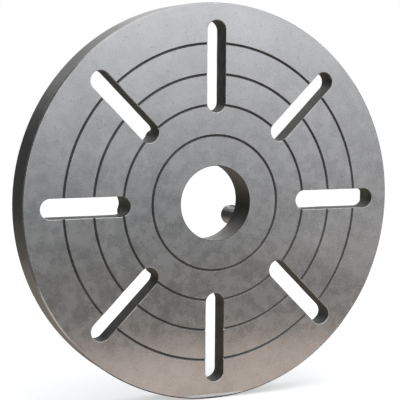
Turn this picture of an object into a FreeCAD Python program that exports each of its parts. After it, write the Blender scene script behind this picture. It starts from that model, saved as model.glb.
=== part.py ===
import FreeCAD, Part
import math
import os
from FreeCAD import Vector

# Lathe faceplate for a camlock spindle nose, size 4. All sizes in millimetres.
# The lathe axis is Y. The work face looks along -Y and +Z is up. The origin is on
# the axis, in the back face of the hub, where the plate seats on the spindle.

# Casting
PLATE_D = 320.0            # outer diameter of the disc and its rim
PLATE_DEPTH = 30.0         # work face to the back of hub and rim
WEB_T = 18.0               # thickness of the disc between hub and rim
HUB_D = 148.0              # hub boss, at its back face
RIM_T = 8.0                # wall of the rim, at its back face
DRAFT_DEG = 3.0            # casting draft of hub side and rim inside
HUB_BEVEL = 3.0            # cast corner between web and hub, as a 45 degree bevel
RIM_BEVEL = 3.5            # cast corner between web and rim
EDGE_CHAMFER = 1.0         # turned outer edges

# Spindle seat: short taper and through bore
TAPER_D = 63.513           # large end of the taper, at the hub's back face
TAPER_HALF_DEG = 7.125     # half angle of the taper
BORE_D = 60.4              # through bore, just under the small end of the nose
BORE_CHAMFER = 0.5         # both mouths of the bore

# Work face: concentric setting grooves and radial slots
GROOVE_COUNT = 4
GROOVE_FIRST_D = 109.0     # innermost groove
GROOVE_PITCH = 24.4        # radial step from groove to groove
GROOVE_W = 2.2             # width of the V at the face
GROOVE_DEPTH = 1.0
SLOT_COUNT = 8
SLOT_W = 16.0
SLOT_INTO_HUB = 1.0        # how far the slot's inner end bites into the hub side
SLOT_LAND = 14.0           # from the slot's outer end to the plate's edge
CUT_PAST = 1.0             # how far a cutter runs past the faces it opens

# Camlock studs
STUD_COUNT = 3
STUD_PCD = 82.6
STUD_FIRST_DEG = -22.5     # first stud, counter-clockwise from +X, seen from the front
STUD_D = 16.7
STUD_REACH = 26.0          # how far a stud stands out of the hub's back face
STUD_CHAMFER = 1.5         # free end
STUD_SEAT = 8.0            # length of the stud's body inside the hub
STUD_THREAD_D = 10.0
STUD_THREAD_L = 13.0
CAM_NOTCH_R = 9.0          # round notch that the spindle's cam pulls on
CAM_NOTCH_DEPTH = 5.0
CAM_NOTCH_HEAD = 5.0       # from the notch to the stud's free end
STUD_CLEARANCE = 0.15      # radial, body in its seat
SEAT_GAP = 0.5             # under the stud's shoulder, room for setting its height
THREAD_CLEARANCE = 0.05    # radial, nominal thread in its tapped hole
TAP_RUNOUT = 2.0           # tapped depth left below a thread's end

# Lock screws, hexagon socket, one beside each stud
SCREW_D = 6.0
SCREW_L = 12.0
SCREW_HEAD_D = 10.0
SCREW_HEAD_H = 6.0
SCREW_EDGE = 0.5           # chamfer round the head
SOCKET_AF = 5.0
SOCKET_DEPTH = 3.0
SCREW_BITE = 2.0           # how far the head reaches into the stud's body
SCREW_SUNK = 0.8           # head top below the hub face
SCREW_CLEARANCE = 0.3      # radial, head in its pocket and in the stud's scallop

# Derived places
PLATE_R = PLATE_D / 2
HUB_R = HUB_D / 2
BORE_R = BORE_D / 2
STUD_R = STUD_D / 2
FRONT_Y = -PLATE_DEPTH
WEB_BACK_Y = FRONT_Y + WEB_T
STUD_PITCH_R = STUD_PCD / 2
SCREW_OFFSET = STUD_R + SCREW_HEAD_D / 2 - SCREW_BITE
SCREW_POCKET = SCREW_HEAD_H + SCREW_SUNK
TO_FRONT = Vector(0, -1, 0)
TO_BACK = Vector(0, 1, 0)


def turned(profile):
    """Revolve a closed (radius, y) outline about the lathe axis."""
    points = [Vector(r, y, 0) for r, y in profile]
    face = Part.Face(Part.makePolygon(points + points[:1]))
    return face.revolve(Vector(0, 0, 0), TO_BACK, 360)


def around(shape, degrees):
    """Copy a shape made at +X to an angle, counter-clockwise seen from the front."""
    copy = shape.copy()
    copy.rotate(Vector(0, 0, 0), TO_FRONT, degrees)
    return copy


def hole(radius, depth, x, z):
    """Round cutter from the hub's back face, at x and z."""
    return Part.makeCylinder(radius, depth, Vector(x, 0, z), TO_FRONT)


def plate_blank():
    """Turned casting: bore, taper, hub, web and rim, with draft and cast corners."""
    lean = math.tan(math.radians(DRAFT_DEG))
    draft = lean * (PLATE_DEPTH - WEB_T)
    hub_root_r = HUB_R + draft
    rim_in_r = PLATE_R - RIM_T
    rim_root_r = rim_in_r - draft
    slope = math.tan(math.radians(TAPER_HALF_DEG))
    mouth_r = TAPER_D / 2
    taper_depth = (mouth_r - BORE_R) / slope
    taper_end_r = mouth_r - BORE_CHAMFER * slope
    return turned([
        (BORE_R + BORE_CHAMFER, FRONT_Y),
        (BORE_R, FRONT_Y + BORE_CHAMFER),
        (BORE_R, -taper_depth),
        (taper_end_r, -BORE_CHAMFER),
        (taper_end_r + BORE_CHAMFER, 0),
        (HUB_R - EDGE_CHAMFER, 0),
        (HUB_R, -EDGE_CHAMFER),
        (hub_root_r - HUB_BEVEL * lean, WEB_BACK_Y + HUB_BEVEL),
        (hub_root_r + HUB_BEVEL, WEB_BACK_Y),
        (rim_root_r - RIM_BEVEL, WEB_BACK_Y),
        (rim_root_r + RIM_BEVEL * lean, WEB_BACK_Y + RIM_BEVEL),
        (rim_in_r, -EDGE_CHAMFER),
        (rim_in_r + EDGE_CHAMFER, 0),
        (PLATE_R - EDGE_CHAMFER, 0),
        (PLATE_R, -EDGE_CHAMFER),
        (PLATE_R, FRONT_Y + EDGE_CHAMFER),
        (PLATE_R - EDGE_CHAMFER, FRONT_Y),
    ])


def slot_cutter():
    """Round-ended radial slot at +X, right through the plate."""
    half = SLOT_W / 2
    inner = HUB_R - SLOT_INTO_HUB + half
    outer = PLATE_R - SLOT_LAND - half
    y = FRONT_Y - CUT_PAST
    in_top, in_end, in_low = Vector(inner, y, half), Vector(inner - half, y, 0), Vector(inner, y, -half)
    out_top, out_end, out_low = Vector(outer, y, half), Vector(outer + half, y, 0), Vector(outer, y, -half)
    outline = Part.Wire([
        Part.LineSegment(in_top, out_top).toShape(),
        Part.Arc(out_top, out_end, out_low).toShape(),
        Part.LineSegment(out_low, in_low).toShape(),
        Part.Arc(in_low, in_end, in_top).toShape(),
    ])
    return Part.Face(outline).extrude(Vector(0, PLATE_DEPTH + 2 * CUT_PAST, 0))


def cut_slots(plate):
    """Cut the radial slots."""
    return plate.cut([around(slot_cutter(), i * 360.0 / SLOT_COUNT) for i in range(SLOT_COUNT)])


def groove_cutters():
    """V rings that leave the concentric grooves in the work face."""
    rings = []
    for i in range(GROOVE_COUNT):
        r = GROOVE_FIRST_D / 2 + i * GROOVE_PITCH
        rings.append(turned([
            (r - GROOVE_W, FRONT_Y - GROOVE_DEPTH),
            (r + GROOVE_W, FRONT_Y - GROOVE_DEPTH),
            (r, FRONT_Y + GROOVE_DEPTH),
        ]))
    return rings


def stud_hole_cutter():
    """Seat and tapped hole of one stud, with the pocket and hole of its lock screw."""
    seat = hole(STUD_R + STUD_CLEARANCE, STUD_SEAT + SEAT_GAP, STUD_PITCH_R, 0)
    tapped = hole(
        STUD_THREAD_D / 2 + THREAD_CLEARANCE, STUD_SEAT + STUD_THREAD_L + TAP_RUNOUT, STUD_PITCH_R, 0
    )
    pocket = hole(SCREW_HEAD_D / 2 + SCREW_CLEARANCE, SCREW_POCKET, STUD_PITCH_R, SCREW_OFFSET)
    screw_hole = hole(
        SCREW_D / 2 + THREAD_CLEARANCE, SCREW_POCKET + SCREW_L + TAP_RUNOUT, STUD_PITCH_R, SCREW_OFFSET
    )
    return seat.fuse([tapped, pocket, screw_hole])


def stud_angles():
    """Angles of the studs, counter-clockwise from +X seen from the front."""
    return [STUD_FIRST_DEG + i * 360.0 / STUD_COUNT for i in range(STUD_COUNT)]


def make_faceplate():
    """The one-piece cast disc, machined all over its working faces."""
    plate = cut_slots(plate_blank())
    cutters = groove_cutters() + [around(stud_hole_cutter(), a) for a in stud_angles()]
    return plate.cut(cutters).removeSplitter()


def make_stud():
    """One camlock stud at +X: body out of the hub and in its seat, cam notch, scallop and thread."""
    shoulder = -STUD_SEAT
    tip = shoulder - STUD_THREAD_L
    body = turned([
        (0, STUD_REACH),
        (STUD_R - STUD_CHAMFER, STUD_REACH),
        (STUD_R, STUD_REACH - STUD_CHAMFER),
        (STUD_R, 0),
        (STUD_R, shoulder),
        (STUD_THREAD_D / 2, shoulder),
        (STUD_THREAD_D / 2, tip),
        (0, tip),
    ])
    notch_drop = STUD_R + CAM_NOTCH_R - CAM_NOTCH_DEPTH
    half_notch = math.sqrt(CAM_NOTCH_R ** 2 - (notch_drop - STUD_R) ** 2)
    notch_y = STUD_REACH - CAM_NOTCH_HEAD - half_notch
    notch = Part.makeCylinder(
        CAM_NOTCH_R, 2 * STUD_D, Vector(-STUD_D, notch_y, notch_drop), Vector(1, 0, 0)
    )
    scallop = Part.makeCylinder(
        SCREW_HEAD_D / 2 + SCREW_CLEARANCE, notch_y + STUD_SEAT + SEAT_GAP,
        Vector(0, shoulder - SEAT_GAP, SCREW_OFFSET), TO_BACK
    )
    stud = body.cut([notch, scallop])
    stud.translate(Vector(STUD_PITCH_R, 0, 0))
    return stud


def make_lock_screw():
    """One hexagon-socket cap screw beside the stud at +X."""
    top = -SCREW_SUNK
    under = -SCREW_POCKET
    tip = under - SCREW_L
    head_r = SCREW_HEAD_D / 2
    screw_r = SCREW_D / 2
    screw = turned([
        (0, top),
        (head_r - SCREW_EDGE, top),
        (head_r, top - SCREW_EDGE),
        (head_r, under),
        (screw_r, under),
        (screw_r, tip),
        (0, tip),
    ])
    corner_r = SOCKET_AF / math.sqrt(3)
    sixths = [math.radians(60 * i) for i in range(6)]
    corners = [Vector(corner_r * math.cos(a), top, corner_r * math.sin(a)) for a in sixths]
    socket = Part.Face(Part.makePolygon(corners + corners[:1])).extrude(Vector(0, -SOCKET_DEPTH, 0))
    screw = screw.cut(socket)
    screw.translate(Vector(STUD_PITCH_R, 0, SCREW_OFFSET))
    return screw


def main():
    os.makedirs("parts", exist_ok=True)
    nodes = {"faceplate": make_faceplate()}
    stud, screw = make_stud(), make_lock_screw()
    for i, angle in enumerate(stud_angles()):
        nodes["cam_stud_%d" % (i + 1)] = around(stud, angle)
    nodes["stud_lock_screws"] = Part.makeCompound([around(screw, a) for a in stud_angles()])
    for name, shape in nodes.items():
        shape.exportStep("parts/%s.step" % name)
        box = shape.BoundBox
        print(name, "solids", len(shape.Solids), "valid", shape.isValid(), "volume", round(shape.Volume, 1),
              "box", [round(v, 2) for v in (box.XLength, box.YLength, box.ZLength)])


main()
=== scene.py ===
"""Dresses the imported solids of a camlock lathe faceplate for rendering.

The cast plate, its three camlock studs and their lock screws are modelled with broken
edges and cast skin round the sizes of the solids, and stand on a pale floor in soft
studio light. Lengths are metres in the frame of the solids: the lathe axis is Y, the
work face looks along -Y and +Z is up.
"""

from __future__ import annotations

import logging
import math
from dataclasses import dataclass
from enum import Enum
from typing import Any, Dict, List, Optional, Sequence, Tuple

import bpy
import numpy as np
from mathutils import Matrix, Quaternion, Vector

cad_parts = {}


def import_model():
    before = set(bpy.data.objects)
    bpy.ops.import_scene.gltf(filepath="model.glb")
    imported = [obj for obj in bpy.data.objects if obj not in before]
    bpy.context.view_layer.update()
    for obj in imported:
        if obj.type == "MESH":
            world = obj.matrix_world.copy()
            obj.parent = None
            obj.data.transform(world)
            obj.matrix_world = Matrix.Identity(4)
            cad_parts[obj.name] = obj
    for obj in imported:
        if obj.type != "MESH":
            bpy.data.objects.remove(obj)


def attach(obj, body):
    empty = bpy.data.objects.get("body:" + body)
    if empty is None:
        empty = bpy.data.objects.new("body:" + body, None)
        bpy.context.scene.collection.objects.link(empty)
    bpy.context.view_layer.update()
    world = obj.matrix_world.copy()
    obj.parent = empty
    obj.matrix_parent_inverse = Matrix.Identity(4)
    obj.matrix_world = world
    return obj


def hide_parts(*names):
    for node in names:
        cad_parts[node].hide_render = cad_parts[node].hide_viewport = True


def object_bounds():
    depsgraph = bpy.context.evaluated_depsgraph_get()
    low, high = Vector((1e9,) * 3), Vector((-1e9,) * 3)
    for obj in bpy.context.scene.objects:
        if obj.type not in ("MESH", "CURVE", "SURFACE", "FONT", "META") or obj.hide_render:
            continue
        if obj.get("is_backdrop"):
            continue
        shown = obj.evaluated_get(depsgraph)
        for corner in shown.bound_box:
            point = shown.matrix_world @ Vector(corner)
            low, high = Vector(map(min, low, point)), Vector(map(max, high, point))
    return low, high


LOG = logging.getLogger("faceplate_looks")
MM = 0.001
BODY = "root"
SMOOTH_BELOW = math.radians(38)
MERGE_WITHIN = 1e-6

Colour = Tuple[float, float, float]
Place = Tuple[float, float, float]
Outline = List[Tuple[float, float]]


# ---------------------------------------------------------------- workbench


class Bench:
    """Workshop moves shared by every piece: selecting, turning, cutting, finishing."""

    @staticmethod
    def clear() -> None:
        """Leaves edit mode and deselects every object."""
        if bpy.context.object and bpy.context.object.mode != "OBJECT":
            bpy.ops.object.mode_set(mode="OBJECT")
        bpy.ops.object.select_all(action="DESELECT")

    @staticmethod
    def take(piece: bpy.types.Object) -> None:
        """Selects one piece and makes it the active one."""
        Bench.clear()
        piece.select_set(True)
        bpy.context.view_layer.objects.active = piece

    @staticmethod
    def open(piece: bpy.types.Object, kind: str) -> None:
        """Enters edit mode on a piece with nothing selected.

        Args:
            piece: the mesh object.
            kind: VERT, EDGE or FACE, what is picked.
        """
        Bench.take(piece)
        bpy.ops.object.mode_set(mode="EDIT")
        bpy.ops.mesh.select_mode(type=kind)
        bpy.ops.mesh.select_all(action="DESELECT")

    @staticmethod
    def pick(piece: bpy.types.Object, kind: str, chosen: Sequence[int]) -> None:
        """Enters edit mode with the given elements selected.

        Args:
            piece: the mesh object.
            kind: VERT, EDGE or FACE.
            chosen: indices of the vertices, edges or faces.
        """
        Bench.open(piece, kind)
        bpy.ops.object.mode_set(mode="OBJECT")
        mesh = piece.data
        items = {"VERT": mesh.vertices, "EDGE": mesh.edges, "FACE": mesh.polygons}[kind]
        for index in chosen:
            items[int(index)].select = True
        bpy.ops.object.mode_set(mode="EDIT")

    @staticmethod
    def settle(piece: bpy.types.Object) -> None:
        """Puts a piece's place, turn and scale into its mesh."""
        Bench.take(piece)
        bpy.ops.object.transform_apply(location=True, rotation=True, scale=True)

    @staticmethod
    def modify(piece: bpy.types.Object, kind: str, **settings: Any) -> None:
        """Adds a modifier with these settings and applies it.

        Args:
            piece: the mesh object.
            kind: the modifier's type name.
            settings: the modifier's own settings.
        """
        Bench.take(piece)
        modifier = piece.modifiers.new(kind.lower(), kind)
        for key, value in settings.items():
            setattr(modifier, key, value)
        bpy.ops.object.modifier_apply(modifier=modifier.name)

    @staticmethod
    def cut(piece: bpy.types.Object, cutter: bpy.types.Object, operation: str = "DIFFERENCE") -> None:
        """Cuts a piece with a closed cutter, or adds it as a UNION, and throws the cutter away."""
        Bench.modify(piece, "BOOLEAN", operation=operation, solver="EXACT", object=cutter)
        bpy.data.objects.remove(cutter)

    @staticmethod
    def copied(piece: bpy.types.Object, name: str, degrees: float = 0.0) -> bpy.types.Object:
        """Copies a piece with its own mesh and turns the copy about the lathe axis.

        Args:
            piece: the object to copy.
            name: the copy's name.
            degrees: counter-clockwise, seen from the front.

        Returns:
            The copy, settled.
        """
        copy = piece.copy()
        copy.data = piece.data.copy()
        copy.name = copy.data.name = name
        bpy.context.scene.collection.objects.link(copy)
        copy.rotation_euler = (0.0, -math.radians(degrees), 0.0)
        Bench.settle(copy)
        return copy

    @staticmethod
    def joined(pieces: Sequence[bpy.types.Object]) -> bpy.types.Object:
        """Joins several pieces into the first.

        Args:
            pieces: the objects to join.

        Returns:
            The first piece, which holds them all.
        """
        Bench.take(pieces[0])
        for piece in pieces:
            piece.select_set(True)
        bpy.ops.object.join()
        return pieces[0]

    @staticmethod
    def turned(name: str, outline: Outline, steps: int, axis: Tuple[float, float] = (0.0, 0.0),
               ring: bool = False) -> bpy.types.Object:
        """Turns an outline about Y, loop by loop: extrude the last loop, then scale it.

        Args:
            name: the piece's name.
            outline: (radius, y) points. None of them is on the axis.
            steps: faces round the piece.
            axis: x and z of the turning axis.
            ring: True joins the last loop to the first; False closes both ends.

        Returns:
            The closed piece, with faces outwards.
        """
        Bench.clear()
        radius, y = outline[0]
        bpy.ops.mesh.primitive_circle_add(
            vertices=steps, radius=radius, location=(axis[0], y, axis[1]), rotation=(math.pi / 2, 0, 0))
        piece = bpy.context.object
        piece.name = piece.data.name = name
        Bench.settle(piece)
        bpy.ops.object.mode_set(mode="EDIT")
        bpy.ops.mesh.select_mode(type="EDGE")
        bpy.ops.mesh.select_all(action="SELECT")
        stations = outline[1:] + (outline[:1] if ring else [])
        for next_radius, next_y in stations:
            bpy.ops.mesh.extrude_edges_move(TRANSFORM_OT_translate={"value": (0, next_y - y, 0)})
            size = next_radius / radius
            bpy.ops.transform.resize(value=(size, 1, size), center_override=(axis[0], y, axis[1]))
            radius, y = next_radius, next_y
        if not ring:
            Bench.close_end(piece, None)
            Bench.close_end(piece, range(steps))
        Bench.seal(piece)
        return piece

    @staticmethod
    def close_end(piece: bpy.types.Object, loop: Optional[Sequence[int]]) -> None:
        """Closes an open loop with a fan.

        Args:
            piece: the turned piece, in edit mode if loop is None.
            loop: vertex indices of the loop, or None for what is selected.
        """
        if loop is not None:
            Bench.pick(piece, "VERT", loop)
            bpy.ops.mesh.select_mode(type="EDGE")
        bpy.ops.mesh.extrude_edges_move(TRANSFORM_OT_translate={"value": (0, 0, 0)})
        bpy.ops.mesh.merge(type="CENTER")

    @staticmethod
    def seal(piece: bpy.types.Object) -> None:
        """Merges doubled vertices and turns every face outwards.

        Args:
            piece: the closed mesh object.
        """
        Bench.open(piece, "VERT")
        bpy.ops.mesh.select_all(action="SELECT")
        bpy.ops.mesh.remove_doubles(threshold=MERGE_WITHIN)
        bpy.ops.mesh.normals_make_consistent(inside=False)
        bpy.ops.object.mode_set(mode="OBJECT")

    @staticmethod
    def smooth(piece: bpy.types.Object) -> None:
        """Shades round surfaces smooth and keeps flat faces flat.

        Args:
            piece: the mesh object.
        """
        Bench.take(piece)
        bpy.ops.object.shade_smooth_by_angle(angle=SMOOTH_BELOW)
        Bench.modify(piece, "WEIGHTED_NORMAL", keep_sharp=True, weight=50)

    @staticmethod
    def faces(piece: bpy.types.Object) -> Tuple[np.ndarray, np.ndarray]:
        """Centres and normals of a piece's faces, as two arrays of rows.

        Args:
            piece: the mesh object.

        Returns:
            Two arrays with a row for each face.
        """
        count = len(piece.data.polygons)
        centres, normals = np.zeros(count * 3), np.zeros(count * 3)
        piece.data.polygons.foreach_get("center", centres)
        piece.data.polygons.foreach_get("normal", normals)
        return centres.reshape(-1, 3), normals.reshape(-1, 3)


def rounded(corners: Sequence[Tuple[float, float, float]], steps: int = 3) -> Outline:
    """Rounds the corners of an outline.

    Args:
        corners: (radius, y, corner radius); a corner radius of 0 leaves the point.
        steps: straight pieces in each rounded corner.

    Returns:
        The outline's points. The first and last point stay as they are.
    """
    made: Outline = []
    for i, (x, y, round_r) in enumerate(corners):
        here = Vector((x, y))
        if round_r <= 0 or i in (0, len(corners) - 1):
            made.append((x, y))
            continue
        back = (Vector(corners[i - 1][:2]) - here).normalized()
        on = (Vector(corners[i + 1][:2]) - here).normalized()
        half = back.angle(on) / 2
        middle = here + (back + on).normalized() * (round_r / math.sin(half))
        start = here + back * (round_r / math.tan(half)) - middle
        end = here + on * (round_r / math.tan(half)) - middle
        turn = start.angle(end)
        for k in range(steps + 1):
            share = k / steps
            arm = start * math.sin((1 - share) * turn) + end * math.sin(share * turn)
            made.append(tuple(middle + arm / math.sin(turn)))
    return made


def between(start: float, end: float, count: int) -> List[float]:
    """Evenly spaced values inside a span, without its ends."""
    return [start + (end - start) * i / (count + 1) for i in range(1, count + 1)]


# ---------------------------------------------------------------- shader trees


class Tree:
    """A node tree that is filled call by call."""

    def __init__(self, tree: bpy.types.NodeTree) -> None:
        """Starts on an empty node tree."""
        self.tree = tree
        self.tree.nodes.clear()

    def add(self, kind: str, inputs: Optional[Dict[Any, Any]] = None, **settings: Any) -> bpy.types.Node:
        """Adds a node.

        Args:
            kind: the node's type name.
            inputs: socket name or index to a value or to another node's output.
            settings: the node's own settings.

        Returns:
            The new node.
        """
        node = self.tree.nodes.new(kind)
        for key, value in settings.items():
            setattr(node, key, value)
        for key, value in (inputs or {}).items():
            if isinstance(value, bpy.types.NodeSocket):
                self.tree.links.new(value, node.inputs[key])
            else:
                node.inputs[key].default_value = value
        return node

    def math(self, operation: str, first: Any, second: Any = 0.0, third: Any = 0.0) -> bpy.types.NodeSocket:
        """Adds a Math node and returns its output."""
        return self.add("ShaderNodeMath", {0: first, 1: second, 2: third}, operation=operation).outputs[0]

    def span(self, value: Any, low: float, high: float, to_low: float = 0.0,
             to_high: float = 1.0) -> bpy.types.NodeSocket:
        """Adds a smooth, clamped Map Range node and returns its output."""
        inputs = {"Value": value, "From Min": low, "From Max": high, "To Min": to_low, "To Max": to_high}
        return self.add("ShaderNodeMapRange", inputs, interpolation_type="SMOOTHSTEP").outputs[0]

    def blend(self, share: Any, first: Any, second: Any) -> bpy.types.NodeSocket:
        """Adds a Mix node for colours and returns its output."""
        inputs = {0: share, 6: opaque(first), 7: opaque(second)}
        return self.add("ShaderNodeMix", inputs, data_type="RGBA").outputs[2]

    def noise(self, place: Any, size: float, detail: float = 3.0, rough: float = 0.5) -> bpy.types.NodeSocket:
        """Adds a noise of about this feature size in metres and returns its value."""
        inputs = {"Vector": place, "Scale": 1.0 / size, "Detail": detail, "Roughness": rough}
        return self.add("ShaderNodeTexNoise", inputs).outputs["Fac"]

    def group(self, effect: "Effect", **inputs: Any) -> bpy.types.Node:
        """Places a shared effect with its own values."""
        return self.add("ShaderNodeGroup", inputs, node_tree=effect.tree())


def opaque(value: Any) -> Any:
    """Gives a plain colour its fourth number and leaves sockets alone."""
    return (*value, 1.0) if isinstance(value, tuple) and len(value) == 3 else value


class Effect:
    """A node group with named sockets, built once and placed in each material."""

    name = ""
    takes: Dict[str, Tuple[str, Any]] = {}
    gives: Dict[str, str] = {}

    def tree(self) -> bpy.types.NodeTree:
        """Returns the group, and builds it the first time."""
        made = bpy.data.node_groups.get(self.name)
        if made:
            return made
        made = bpy.data.node_groups.new(self.name, "ShaderNodeTree")
        for socket, (kind, value) in self.takes.items():
            item = made.interface.new_socket(name=socket, in_out="INPUT", socket_type=kind)
            if value is not None:
                item.default_value = value
        for socket, kind in self.gives.items():
            made.interface.new_socket(name=socket, in_out="OUTPUT", socket_type=kind)
        tree = Tree(made)
        source = tree.add("NodeGroupInput")
        results = self.fill(tree, source.outputs)
        tree.add("NodeGroupOutput", results)
        return made

    def fill(self, tree: Tree, given: Any) -> Dict[str, bpy.types.NodeSocket]:
        """Adds the effect's nodes.

        Args:
            tree: the group's tree.
            given: the outputs of the group's input node.

        Returns:
            Output name to the socket that feeds it.
        """
        raise NotImplementedError


FLOAT, VECTOR = "NodeSocketFloat", "NodeSocketVector"


class TurningMarks(Effect):
    """Rings that a lathe tool leaves, about the Y axis of the place it is given."""

    name = "turning_marks"
    takes = {"Place": (VECTOR, None), "Pitch": (FLOAT, 0.3 * MM), "Wander": (FLOAT, 1.2)}
    gives = {"Height": FLOAT, "Band": FLOAT}

    def fill(self, tree: Tree, given: Any) -> Dict[str, bpy.types.NodeSocket]:
        """Adds the rings and the slow bands of tool wear.

        Args:
            tree: the group's tree.
            given: the outputs of the group's input node.

        Returns:
            Output name to the socket that feeds it.
        """
        axes = tree.add("ShaderNodeSeparateXYZ", {0: given["Place"]})
        flat = tree.add("ShaderNodeCombineXYZ", {0: axes.outputs[0], 2: axes.outputs[2]})
        radius = tree.add("ShaderNodeVectorMath", {0: flat.outputs[0]}, operation="LENGTH").outputs["Value"]
        path = tree.math("ADD", radius, axes.outputs[1])
        band = tree.add("ShaderNodeTexNoise", {"W": path, "Scale": 1 / (5 * MM), "Detail": 3.0},
                        noise_dimensions="1D").outputs["Fac"]
        phase = tree.math("MULTIPLY_ADD", band, given["Wander"], tree.math("DIVIDE", path, given["Pitch"]))
        wave = tree.math("SINE", tree.math("MULTIPLY", phase, 2 * math.pi))
        strength = tree.noise(given["Place"], 30 * MM, 2.0)
        height = tree.math("MULTIPLY_ADD", wave, tree.math("MULTIPLY", strength, 0.5), 0.5)
        return {"Height": height, "Band": band}


class Mottle(Effect):
    """Blotches of grey iron: wide clouds, hand-sized patches and fine dark specks."""

    name = "iron_mottle"
    takes = {"Place": (VECTOR, None), "Specks": (FLOAT, 0.5)}
    gives = {"Cloud": FLOAT, "Patch": FLOAT, "Speck": FLOAT}

    def fill(self, tree: Tree, given: Any) -> Dict[str, bpy.types.NodeSocket]:
        """Adds three sizes of blotch.

        Args:
            tree: the group's tree.
            given: the outputs of the group's input node.

        Returns:
            Output name to the socket that feeds it.
        """
        place = given["Place"]
        cloud = tree.span(tree.noise(place, 42 * MM, 2.0), 0.32, 0.68)
        patch = tree.span(tree.noise(place, 9 * MM, 4.0, 0.62), 0.3, 0.7)
        grains = tree.add("ShaderNodeTexVoronoi", {"Vector": place, "Scale": 1 / (2.6 * MM)})
        dot = tree.span(grains.outputs["Distance"], 0.06, 0.3, 1.0, 0.0)
        rare = tree.span(tree.noise(place, 3.1 * MM, 1.0), 0.56, 0.66)
        speck = tree.math("MULTIPLY", tree.math("MULTIPLY", dot, rare), given["Specks"])
        return {"Cloud": cloud, "Patch": patch, "Speck": speck}


class CastGrain(Effect):
    """Skin of a sand casting: grain, lumps and a few pits."""

    name = "cast_grain"
    takes = {"Place": (VECTOR, None)}
    gives = {"Height": FLOAT, "Pit": FLOAT}

    def fill(self, tree: Tree, given: Any) -> Dict[str, bpy.types.NodeSocket]:
        """Adds sand grain over soft lumps, and pits.

        Args:
            tree: the group's tree.
            given: the outputs of the group's input node.

        Returns:
            Output name to the socket that feeds it.
        """
        place = given["Place"]
        grain = tree.noise(place, 1.1 * MM, 4.0, 0.6)
        lumps = tree.noise(place, 6.0 * MM, 2.0)
        holes = tree.add("ShaderNodeTexVoronoi", {"Vector": place, "Scale": 1 / (4.2 * MM)})
        near = tree.span(holes.outputs["Distance"], 0.05, 0.22, 1.0, 0.0)
        pit = tree.math("MULTIPLY", near, tree.span(tree.noise(place, 5 * MM, 1.0), 0.52, 0.6))
        body = tree.math("MULTIPLY_ADD", grain, 0.45, tree.math("MULTIPLY", lumps, 0.55))
        height = tree.math("SUBTRACT", body, tree.math("MULTIPLY", pit, 0.5))
        return {"Height": height, "Pit": pit}


# ---------------------------------------------------------------- finishes


class Slot(Enum):
    """Material slots of the record."""

    PLATE = "plate_iron"
    STUD = "stud_steel"
    SCREW = "screw_steel"


@dataclass(frozen=True)
class Finish:
    """A metal surface: what every finish shares.

    Attributes:
        name: the material's name.
        dark: colour in the dark blotches.
        light: colour in the light blotches.
        metallic: share of bare metal.
        roughness: middle roughness.
        spread: how far roughness varies over the surface.
        bump: height of the surface's marks in metres.
        oil: weight of the oil film on it.
        oil_roughness: roughness of that film.
        attribute: vertex attribute that holds the place, or empty for object coordinates.
    """

    name: str
    dark: Colour
    light: Colour
    metallic: float = 1.0
    roughness: float = 0.35
    spread: float = 0.08
    bump: float = 0.02 * MM
    oil: float = 0.0
    oil_roughness: float = 0.1
    attribute: str = ""

    def place(self, tree: Tree) -> bpy.types.NodeSocket:
        """Returns the socket with the place on the piece."""
        if self.attribute:
            return tree.add("ShaderNodeAttribute", attribute_name=self.attribute).outputs["Vector"]
        return tree.add("ShaderNodeTexCoord").outputs["Object"]

    def surface(self, tree: Tree, place: bpy.types.NodeSocket) -> Tuple[Any, Any, Any]:
        """Adds the finish's own nodes.

        Args:
            tree: the material's tree.
            place: where on the piece.

        Returns:
            Sockets for colour, roughness and height.
        """
        raise NotImplementedError

    def material(self) -> bpy.types.Material:
        """Returns the material, and builds it the first time."""
        made = bpy.data.materials.get(self.name)
        if made:
            return made
        made = bpy.data.materials.new(self.name)
        made.use_nodes = True
        tree = Tree(made.node_tree)
        colour, roughness, height = self.surface(tree, self.place(tree))
        bump = tree.add("ShaderNodeBump", {"Height": height, "Distance": self.bump, "Strength": 1.0})
        shader = tree.add("ShaderNodeBsdfPrincipled", {
            "Base Color": colour,
            "Metallic": self.metallic,
            "Roughness": roughness,
            "Coat Weight": self.oil,
            "Coat Roughness": self.oil_roughness,
            "Normal": bump.outputs[0],
        })
        tree.add("ShaderNodeOutputMaterial", {"Surface": shader.outputs[0]})
        return made


@dataclass(frozen=True)
class TurnedIron(Finish):
    """Grey iron faced on a lathe.

    Attributes:
        pitch: feed of the tool in metres a turn.
        specks: strength of the dark specks.
    """

    pitch: float = 0.3 * MM
    specks: float = 0.5

    def surface(self, tree: Tree, place: bpy.types.NodeSocket) -> Tuple[Any, Any, Any]:
        """Adds mottling, tool rings and specks.

        Args:
            tree: the material's tree.
            place: where on the piece.

        Returns:
            Sockets for colour, roughness and height.
        """
        blotch = tree.group(Mottle(), Place=place, Specks=self.specks).outputs
        rings = tree.group(TurningMarks(), Place=place, Pitch=self.pitch).outputs
        mixed = tree.math("MULTIPLY_ADD", blotch["Patch"], 0.45, tree.math("MULTIPLY", blotch["Cloud"], 0.35))
        tone = tree.math("MULTIPLY_ADD", rings["Band"], 0.2, mixed)
        colour = tree.blend(tone, self.dark, self.light)
        colour = tree.blend(blotch["Speck"], colour, tuple(c * 0.35 for c in self.dark))
        rough = tree.math("MULTIPLY_ADD", blotch["Patch"], self.spread, self.roughness - self.spread / 2)
        rough = tree.math("MULTIPLY_ADD", blotch["Speck"], 0.3, rough)
        return colour, rough, tree.math("SUBTRACT", rings["Height"], blotch["Speck"])


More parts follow.
